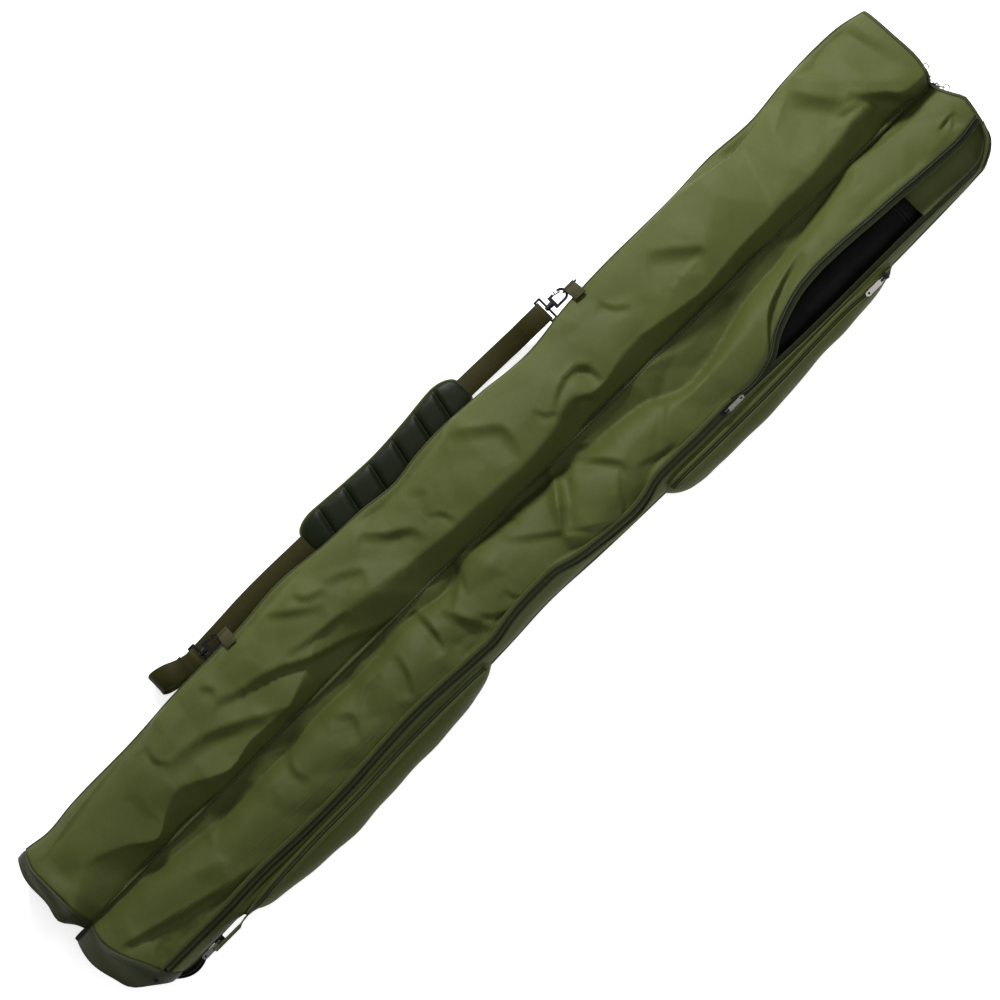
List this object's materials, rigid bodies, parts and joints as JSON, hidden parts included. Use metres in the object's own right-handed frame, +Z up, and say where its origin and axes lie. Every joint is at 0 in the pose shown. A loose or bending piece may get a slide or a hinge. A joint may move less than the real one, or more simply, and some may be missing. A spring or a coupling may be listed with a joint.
{
  "type": "fishing rod holdall",
  "caption": "Long two-lobed padded rod bag with an open side zip, inner tip sleeve, two side pockets, reinforced base and clip-on padded shoulder strap.",
  "frame": {"origin": "middle of the back panel's flat underside, midway between the base and the lip and between the two sides", "axes": "+X along the bag to the zipped top end, +Y across it to the shoulder strap's side, +Z up out of the back panel"},
  "size_m": [1.9878, 0.4198, 0.115],
  "materials": {
    "outer_fabric": "matt olive woven polyester over thin foam padding",
    "base_fabric": "coated, harder-wearing dark olive fabric",
    "lining": "smooth olive nylon lining",
    "neoprene": "black knit-faced foam, matt",
    "zip_tape": "dark green herringbone zip tape and binding",
    "webbing": "brown-olive ribbed polypropylene webbing",
    "pad_fabric": "dark olive mesh over soft foam",
    "gunmetal": "gunmetal plated, satin",
    "nickel": "nickel plated, slightly brushed"
  },
  "bodies": {
    "bag": {"front_left_panel": "outer_fabric", "front_right_panel": "outer_fabric", "centre_seam": "zip_tape", "back_panel": "outer_fabric", "zip_gusset": "outer_fabric", "top_end_left": "lining", "top_end_right": "lining", "base_cap_left": "base_fabric", "base_cap_right": "base_fabric", "rod_divider": "lining", "rod_sleeve": "neoprene", "rod_strap_1": "neoprene", "rod_strap_2": "neoprene", "rod_strap_3": "neoprene", "main_zip_chain": "zip_tape", "main_zip_front_tape": "zip_tape", "main_zip_back_tape": "zip_tape", "main_zip_stop": "nickel", "top_zip_chain": "zip_tape", "top_zip_stops": "nickel", "upper_pocket": "outer_fabric", "upper_pocket_zip": "zip_tape", "lower_pocket": "outer_fabric", "lower_pocket_zip": "zip_tape", "zip_end_tab": "neoprene", "upper_ring_tab": "webbing", "lower_ring_tab": "webbing"},
    "main_zip": {"main_slider": "gunmetal"},
    "main_pull": {"main_puller": "nickel"},
    "top_left_zip": {"top_left_slider": "gunmetal"},
    "top_left_pull": {"top_left_link": "nickel"},
    "top_left_loop": {"top_left_ring": "nickel"},
    "top_right_zip": {"top_right_slider": "gunmetal"},
    "top_right_pull": {"top_right_link": "nickel"},
    "top_right_loop": {"top_right_ring": "nickel"},
    "upper_pocket_run": {"upper_pocket_slider": "gunmetal"},
    "upper_pocket_pull": {"upper_pocket_puller": "nickel"},
    "lower_pocket_run": {"lower_pocket_slider": "gunmetal"},
    "lower_pocket_pull": {"lower_pocket_puller": "nickel"},
    "strap": {"upper_d_ring": "gunmetal", "lower_d_ring": "gunmetal", "upper_strap_ring": "gunmetal", "lower_strap_ring": "gunmetal", "upper_webbing": "webbing", "lower_webbing": "webbing", "shoulder_pad": "pad_fabric"},
    "adjuster": {"strap_adjuster": "gunmetal"},
    "upper_hook": {"upper_snap_hook": "gunmetal"},
    "upper_gate": {"upper_snap_gate": "nickel"},
    "lower_hook": {"lower_snap_hook": "gunmetal"},
    "lower_gate": {"lower_snap_gate": "nickel"}
  },
  "joints": [
    {"name": "main_zip_slide", "type": "slide", "parent": "bag", "child": "main_zip", "axis": [1, 0, 0], "range_m": [-1.285, 0.592]},
    {"name": "main_puller_hinge", "type": "hinge", "parent": "main_zip", "child": "main_pull", "pos_m": [0.358, -0.14313, 0.10358], "axis": [0, 0.8305, 0.557], "range_deg": [-165, 0]},
    {"name": "top_left_zip_slide", "type": "slide", "parent": "bag", "child": "top_left_zip", "axis": [0, 1, 0], "range_m": [0, 0.085]},
    {"name": "top_left_link_hinge", "type": "hinge", "parent": "top_left_zip", "child": "top_left_pull", "pos_m": [0.98365, 0.011, 0.052], "axis": [0, 0, 1], "range_deg": [-100, 10]},
    {"name": "top_left_ring_swing", "type": "hinge", "parent": "top_left_pull", "child": "top_left_loop", "pos_m": [0.98865, 0.01966, 0.052], "axis": [0.866, -0.5, 0], "range_deg": [-90, 90]},
    {"name": "top_right_zip_slide", "type": "slide", "parent": "bag", "child": "top_right_zip", "axis": [0, 1, 0], "range_m": [-0.085, 0]},
    {"name": "top_right_link_hinge", "type": "hinge", "parent": "top_right_zip", "child": "top_right_pull", "pos_m": [0.98365, -0.011, 0.052], "axis": [0, 0, -1], "range_deg": [-100, 10]},
    {"name": "top_right_ring_swing", "type": "hinge", "parent": "top_right_pull", "child": "top_right_loop", "pos_m": [0.98865, -0.01966, 0.052], "axis": [0.866, 0.5, 0], "range_deg": [-90, 90]},
    {"name": "upper_pocket_zip_slide", "type": "slide", "parent": "bag", "child": "upper_pocket_run", "axis": [1, 0, 0], "range_m": [-0.464, 0.006]},
    {"name": "upper_pocket_puller_hinge", "type": "hinge", "parent": "upper_pocket_run", "child": "upper_pocket_pull", "pos_m": [0.693, -0.17016, 0.09292], "axis": [0, 0.9628, 0.2701], "range_deg": [0, 165]},
    {"name": "lower_pocket_zip_slide", "type": "slide", "parent": "bag", "child": "lower_pocket_run", "axis": [1, 0, 0], "range_m": [0, 0.6]},
    {"name": "lower_pocket_puller_hinge", "type": "hinge", "parent": "lower_pocket_run", "child": "lower_pocket_pull", "pos_m": [-0.825, -0.17016, 0.09292], "axis": [0, 0.9628, 0.2701], "range_deg": [0, 165]},
    {"name": "strap_swing", "type": "hinge", "parent": "bag", "child": "strap", "pos_m": [0, 0.1825, 0.042], "axis": [1, 0, 0], "range_deg": [0, 110]},
    {"name": "adjuster_slide", "type": "slide", "parent": "strap", "child": "adjuster", "axis": [1, 0.0078, 0], "range_m": [-0.006, 0.12]},
    {"name": "upper_hook_swivel", "type": "hinge", "parent": "strap", "child": "upper_hook", "pos_m": [0.28205, 0.1825, 0.034], "axis": [1, 0, 0], "range_deg": [-25, 25]},
    {"name": "upper_gate_hinge", "type": "hinge", "parent": "upper_hook", "child": "upper_gate", "pos_m": [0.29555, 0.1915, 0.034], "axis": [0, 0, 1], "range_deg": [-25, 0], "stiffness_Nm_per_rad": 0.02, "springref_deg": 20.05},
    {"name": "lower_hook_swivel", "type": "hinge", "parent": "strap", "child": "lower_hook", "pos_m": [-0.51995, 0.1825, 0.034], "axis": [1, 0, 0], "range_deg": [-25, 25]},
    {"name": "lower_gate_hinge", "type": "hinge", "parent": "lower_hook", "child": "lower_gate", "pos_m": [-0.50645, 0.1915, 0.034], "axis": [0, 0, 1], "range_deg": [-25, 0], "stiffness_Nm_per_rad": 0.02, "springref_deg": 20.05}
  ]
}
